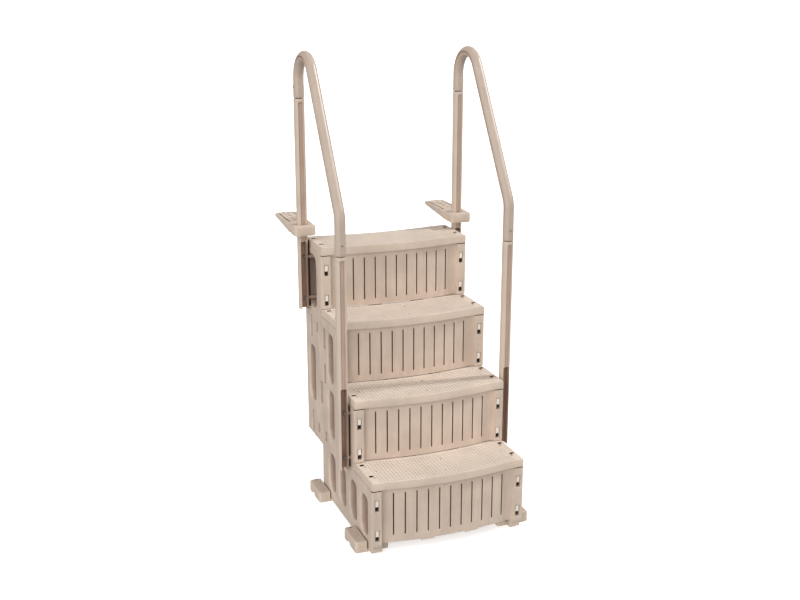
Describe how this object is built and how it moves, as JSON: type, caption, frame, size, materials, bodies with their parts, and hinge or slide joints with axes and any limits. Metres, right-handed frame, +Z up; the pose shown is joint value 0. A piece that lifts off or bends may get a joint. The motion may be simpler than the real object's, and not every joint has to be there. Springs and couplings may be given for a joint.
{
  "type": "pool ladder",
  "caption": "In-pool step ladder with bowed slotted steps, moulded side panels, tubular handrails and sliding deck brackets.",
  "frame": {"origin": "centre of the ladder's bounding box on the pool floor", "axes": "+X to the climber's right, +Y from the climber towards the deck, +Z up"},
  "size_m": [0.764, 0.995, 1.783],
  "materials": {
    "resin": "satin moulded resin, fine grain",
    "tread_resin": "satin moulded resin with a raised grip pattern",
    "clip_resin": "smooth pale resin",
    "steel": "stainless steel fasteners"
  },
  "bodies": {
    "ladder": {"tread_1": "tread_resin", "tread_2": "tread_resin", "tread_3": "tread_resin", "tread_4": "tread_resin", "riser_1": "resin", "riser_2": "resin", "riser_3": "resin", "riser_4": "resin", "riser_clips_1": "clip_resin", "riser_clips_2": "clip_resin", "riser_clips_3": "clip_resin", "riser_clips_4": "clip_resin", "lower_panel_left": "resin", "lower_panel_right": "resin", "upper_panel_left": "resin", "upper_panel_right": "resin", "foot_front_left": "resin", "foot_front_right": "resin", "foot_rear_left": "resin", "foot_rear_right": "resin", "post_front_left": "resin", "post_front_right": "resin", "post_rear_left": "resin", "post_rear_right": "resin", "handrail_left": "resin", "handrail_right": "resin", "rail_screws_left": "steel", "rail_screws_right": "steel", "panel_bolts_left": "steel", "panel_bolts_right": "steel", "panel_nuts_left": "steel", "panel_nuts_right": "steel", "post_bolts_left": "steel", "post_bolts_right": "steel", "post_nuts_left": "steel", "post_nuts_right": "steel"},
    "bracket_left": {"deck_plate_left": "resin", "collar_clamp_left": "resin", "collar_bolts_left": "steel"},
    "bracket_right": {"deck_plate_right": "resin", "collar_clamp_right": "resin", "collar_bolts_right": "steel"}
  },
  "joints": [
    {"name": "bracket_left_slide", "type": "slide", "parent": "ladder", "child": "bracket_left", "axis": [0, 0, 1], "range_m": [-0.02, 0.45]},
    {"name": "bracket_right_slide", "type": "slide", "parent": "ladder", "child": "bracket_right", "axis": [0, 0, 1], "range_m": [-0.02, 0.45]}
  ]
}
